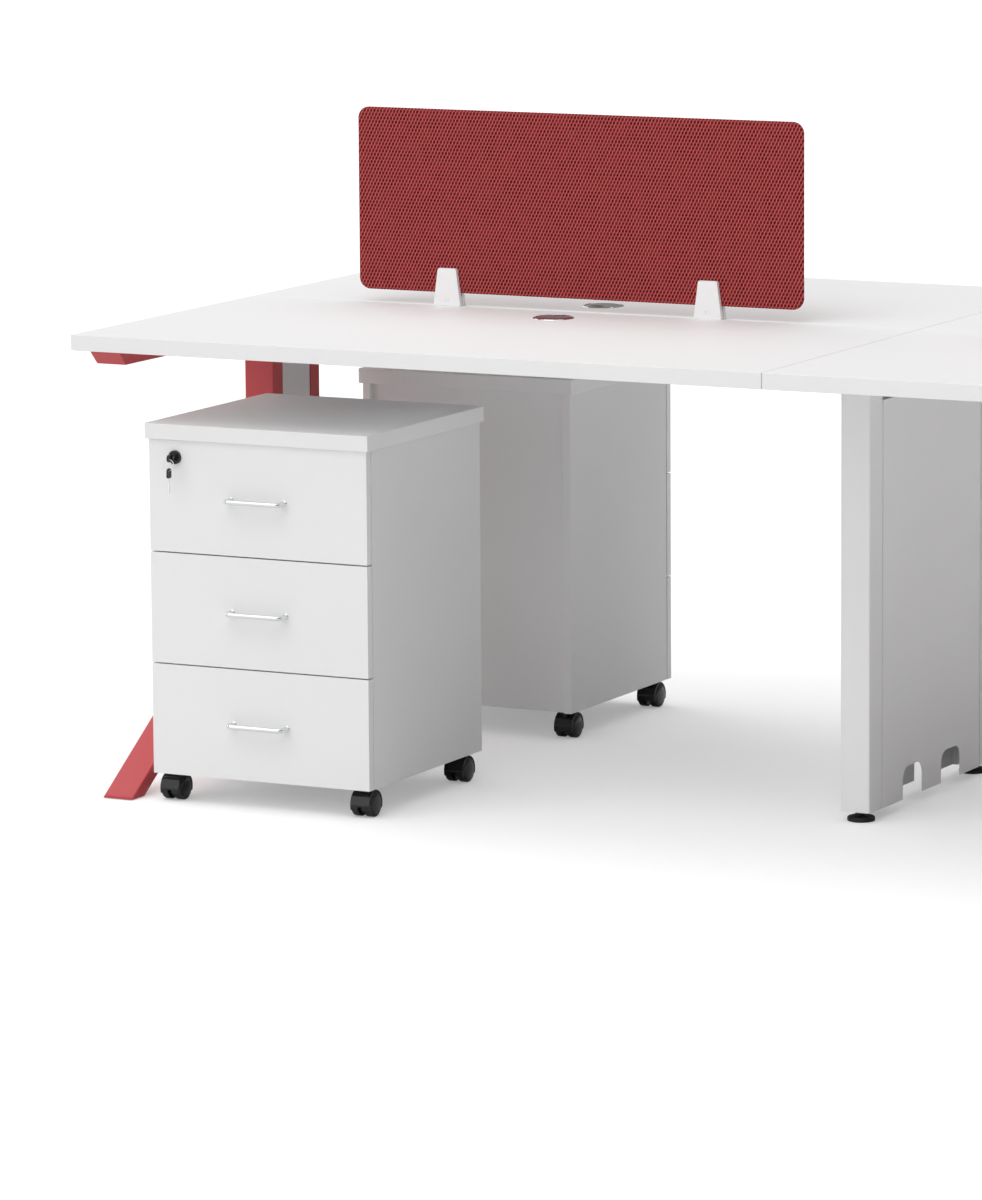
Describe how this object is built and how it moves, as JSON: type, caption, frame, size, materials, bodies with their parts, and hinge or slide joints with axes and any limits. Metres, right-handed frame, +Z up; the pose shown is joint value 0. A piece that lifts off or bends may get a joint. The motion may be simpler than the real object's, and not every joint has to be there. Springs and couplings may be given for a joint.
{
  "type": "cubicle workstation",
  "caption": "Open-plan office desk cluster: back-to-back worktops on steel legs, low fabric screens on the centre line, and mobile drawer pedestals on castors.",
  "frame": {"origin": "on the floor under the point where the four worktops meet", "axes": "+X to the right along the rows, +Y from the front row to the back row, +Z up"},
  "size_m": [2.4, 1.215, 1.071],
  "materials": {
    "white_laminate_board": "matt white melamine on chipboard",
    "red_powder_coat": "satin red powder coat",
    "white_powder_coat": "satin white powder coat",
    "grey_cover_plastic": "matt grey",
    "black_pad_rubber": "matt black",
    "black_plastic": "glossy black nylon",
    "bare_steel": "zinc-plated steel",
    "chrome": "polished chrome plate",
    "red_mesh_fabric": "woven red mesh over a board"
  },
  "bodies": {
    "desk": {"worktop_front_left": "white_laminate_board", "worktop_front_right": "white_laminate_board", "worktop_rear_left": "white_laminate_board", "worktop_rear_right": "white_laminate_board", "left_end_frame": "red_powder_coat", "right_end_frame": "red_powder_coat", "column_cable_covers": "grey_cover_plastic", "floor_pads": "black_pad_rubber", "middle_leg_frame": "white_powder_coat", "middle_leg_side_plates": "white_powder_coat", "levelling_glides": "black_plastic", "cross_beams": "white_powder_coat", "left_screen": "red_mesh_fabric", "right_screen": "red_mesh_fabric", "screen_clamps": "white_powder_coat", "screen_clamp_screws": "bare_steel", "cable_grommets": "chrome", "worktop_screws": "bare_steel"},
    "front_pedestal": {"front_pedestal_top": "white_laminate_board", "front_pedestal_sides": "white_laminate_board", "front_pedestal_back": "white_laminate_board", "front_pedestal_base": "white_laminate_board", "front_pedestal_drawer_runners": "bare_steel"},
    "front_pedestal_bottom_drawer": {"front_pedestal_bottom_drawer_front": "white_laminate_board", "front_pedestal_bottom_drawer_box": "white_laminate_board", "front_pedestal_bottom_drawer_handle": "chrome"},
    "front_pedestal_middle_drawer": {"front_pedestal_middle_drawer_front": "white_laminate_board", "front_pedestal_middle_drawer_box": "white_laminate_board", "front_pedestal_middle_drawer_handle": "chrome"},
    "front_pedestal_top_drawer": {"front_pedestal_top_drawer_front": "white_laminate_board", "front_pedestal_top_drawer_box": "white_laminate_board", "front_pedestal_top_drawer_handle": "chrome", "front_pedestal_lock": "black_plastic"},
    "front_pedestal_lock_plug": {"front_pedestal_keys": "black_plastic"},
    "front_pedestal_front_left_castor": {"front_pedestal_front_left_castor_fork": "black_plastic"},
    "front_pedestal_front_left_wheel": {"front_pedestal_front_left_castor_wheels": "black_plastic"},
    "front_pedestal_front_right_castor": {"front_pedestal_front_right_castor_fork": "black_plastic"},
    "front_pedestal_front_right_wheel": {"front_pedestal_front_right_castor_wheels": "black_plastic"},
    "front_pedestal_back_left_castor": {"front_pedestal_back_left_castor_fork": "black_plastic"},
    "front_pedestal_back_left_wheel": {"front_pedestal_back_left_castor_wheels": "black_plastic"},
    "front_pedestal_back_right_castor": {"front_pedestal_back_right_castor_fork": "black_plastic"},
    "front_pedestal_back_right_wheel": {"front_pedestal_back_right_castor_wheels": "black_plastic"},
    "rear_pedestal": {"rear_pedestal_cabinet": "white_laminate_board", "rear_pedestal_drawer_runners": "bare_steel"},
    "rear_pedestal_bottom_drawer": {"rear_pedestal_bottom_drawer": "white_laminate_board", "rear_pedestal_bottom_drawer_handle": "chrome"},
    "rear_pedestal_middle_drawer": {"rear_pedestal_middle_drawer": "white_laminate_board", "rear_pedestal_middle_drawer_handle": "chrome"},
    "rear_pedestal_top_drawer": {"rear_pedestal_top_drawer": "white_laminate_board", "rear_pedestal_top_drawer_handle": "chrome", "rear_pedestal_lock": "black_plastic"},
    "rear_pedestal_lock_plug": {"rear_pedestal_keys": "black_plastic"},
    "rear_pedestal_front_left_castor": {"rear_pedestal_front_left_castor_fork": "black_plastic"},
    "rear_pedestal_front_left_wheel": {"rear_pedestal_front_left_castor_wheels": "black_plastic"},
    "rear_pedestal_front_right_castor": {"rear_pedestal_front_right_castor_fork": "black_plastic"},
    "rear_pedestal_front_right_wheel": {"rear_pedestal_front_right_castor_wheels": "black_plastic"},
    "rear_pedestal_back_left_castor": {"rear_pedestal_back_left_castor_fork": "black_plastic"},
    "rear_pedestal_back_left_wheel": {"rear_pedestal_back_left_castor_wheels": "black_plastic"},
    "rear_pedestal_back_right_castor": {"rear_pedestal_back_right_castor_fork": "black_plastic"},
    "rear_pedestal_back_right_wheel": {"rear_pedestal_back_right_castor_wheels": "black_plastic"}
  },
  "joints": [
    {"name": "front_pedestal_roll", "type": "slide", "parent": "desk", "child": "front_pedestal", "axis": [0, -1, 0], "range_m": [-0.1, 0.6]},
    {"name": "front_pedestal_bottom_drawer_slide", "type": "slide", "parent": "front_pedestal", "child": "front_pedestal_bottom_drawer", "axis": [0, -1, 0], "range_m": [0, 0.26]},
    {"name": "front_pedestal_middle_drawer_slide", "type": "slide", "parent": "front_pedestal", "child": "front_pedestal_middle_drawer", "axis": [0, -1, 0], "range_m": [0, 0.26]},
    {"name": "front_pedestal_top_drawer_slide", "type": "slide", "parent": "front_pedestal", "child": "front_pedestal_top_drawer", "axis": [0, -1, 0], "range_m": [0, 0.26]},
    {"name": "front_pedestal_lock_turn", "type": "hinge", "parent": "front_pedestal_top_drawer", "child": "front_pedestal_lock_plug", "pos_m": [-1.041, -0.551, 0.5575], "axis": [0, -1, 0], "range_deg": [0, 90]},
    {"name": "front_pedestal_front_left_swivel", "type": "hinge", "parent": "front_pedestal", "child": "front_pedestal_front_left_castor", "pos_m": [-1.066, -0.507, 0.046], "axis": [0, 0, 1], "continuous": true},
    {"name": "front_pedestal_front_left_spin", "type": "hinge", "parent": "front_pedestal_front_left_castor", "child": "front_pedestal_front_left_wheel", "pos_m": [-1.066, -0.519, 0.02], "axis": [1, 0, 0], "continuous": true},
    {"name": "front_pedestal_front_right_swivel", "type": "hinge", "parent": "front_pedestal", "child": "front_pedestal_front_right_castor", "pos_m": [-0.722, -0.507, 0.046], "axis": [0, 0, 1], "continuous": true},
    {"name": "front_pedestal_front_right_spin", "type": "hinge", "parent": "front_pedestal_front_right_castor", "child": "front_pedestal_front_right_wheel", "pos_m": [-0.722, -0.519, 0.02], "axis": [1, 0, 0], "continuous": true},
    {"name": "front_pedestal_back_left_swivel", "type": "hinge", "parent": "front_pedestal", "child": "front_pedestal_back_left_castor", "pos_m": [-1.066, -0.185, 0.046], "axis": [0, 0, 1], "continuous": true},
    {"name": "front_pedestal_back_left_spin", "type": "hinge", "parent": "front_pedestal_back_left_castor", "child": "front_pedestal_back_left_wheel", "pos_m": [-1.066, -0.197, 0.02], "axis": [1, 0, 0], "continuous": true},
    {"name": "front_pedestal_back_right_swivel", "type": "hinge", "parent": "front_pedestal", "child": "front_pedestal_back_right_castor", "pos_m": [-0.722, -0.185, 0.046], "axis": [0, 0, 1], "continuous": true},
    {"name": "front_pedestal_back_right_spin", "type": "hinge", "parent": "front_pedestal_back_right_castor", "child": "front_pedestal_back_right_wheel", "pos_m": [-0.722, -0.197, 0.02], "axis": [1, 0, 0], "continuous": true},
    {"name": "rear_pedestal_roll", "type": "slide", "parent": "desk", "child": "rear_pedestal", "axis": [0, 1, 0], "range_m": [-0.1, 0.6]},
    {"name": "rear_pedestal_bottom_drawer_slide", "type": "slide", "parent": "rear_pedestal", "child": "rear_pedestal_bottom_drawer", "axis": [0, 1, 0], "range_m": [0, 0.26]},
    {"name": "rear_pedestal_middle_drawer_slide", "type": "slide", "parent": "rear_pedestal", "child": "rear_pedestal_middle_drawer", "axis": [0, 1, 0], "range_m": [0, 0.26]},
    {"name": "rear_pedestal_top_drawer_slide", "type": "slide", "parent": "rear_pedestal", "child": "rear_pedestal_top_drawer", "axis": [0, 1, 0], "range_m": [0, 0.26]},
    {"name": "rear_pedestal_lock_turn", "type": "hinge", "parent": "rear_pedestal_top_drawer", "child": "rear_pedestal_lock_plug", "pos_m": [-0.762, 0.588, 0.5575], "axis": [0, 1, 0], "range_deg": [0, 90]},
    {"name": "rear_pedestal_front_left_swivel", "type": "hinge", "parent": "rear_pedestal", "child": "rear_pedestal_front_left_castor", "pos_m": [-0.737, 0.544, 0.046], "axis": [0, 0, 1], "continuous": true},
    {"name": "rear_pedestal_front_left_spin", "type": "hinge", "parent": "rear_pedestal_front_left_castor", "child": "rear_pedestal_front_left_wheel", "pos_m": [-0.737, 0.556, 0.02], "axis": [1, 0, 0], "continuous": true},
    {"name": "rear_pedestal_front_right_swivel", "type": "hinge", "parent": "rear_pedestal", "child": "rear_pedestal_front_right_castor", "pos_m": [-1.081, 0.544, 0.046], "axis": [0, 0, 1], "continuous": true},
    {"name": "rear_pedestal_front_right_spin", "type": "hinge", "parent": "rear_pedestal_front_right_castor", "child": "rear_pedestal_front_right_wheel", "pos_m": [-1.081, 0.556, 0.02], "axis": [1, 0, 0], "continuous": true},
    {"name": "rear_pedestal_back_left_swivel", "type": "hinge", "parent": "rear_pedestal", "child": "rear_pedestal_back_left_castor", "pos_m": [-0.737, 0.222, 0.046], "axis": [0, 0, 1], "continuous": true},
    {"name": "rear_pedestal_back_left_spin", "type": "hinge", "parent": "rear_pedestal_back_left_castor", "child": "rear_pedestal_back_left_wheel", "pos_m": [-0.737, 0.234, 0.02], "axis": [1, 0, 0], "continuous": true},
    {"name": "rear_pedestal_back_right_swivel", "type": "hinge", "parent": "rear_pedestal", "child": "rear_pedestal_back_right_castor", "pos_m": [-1.081, 0.222, 0.046], "axis": [0, 0, 1], "continuous": true},
    {"name": "rear_pedestal_back_right_spin", "type": "hinge", "parent": "rear_pedestal_back_right_castor", "child": "rear_pedestal_back_right_wheel", "pos_m": [-1.081, 0.234, 0.02], "axis": [1, 0, 0], "continuous": true}
  ]
}
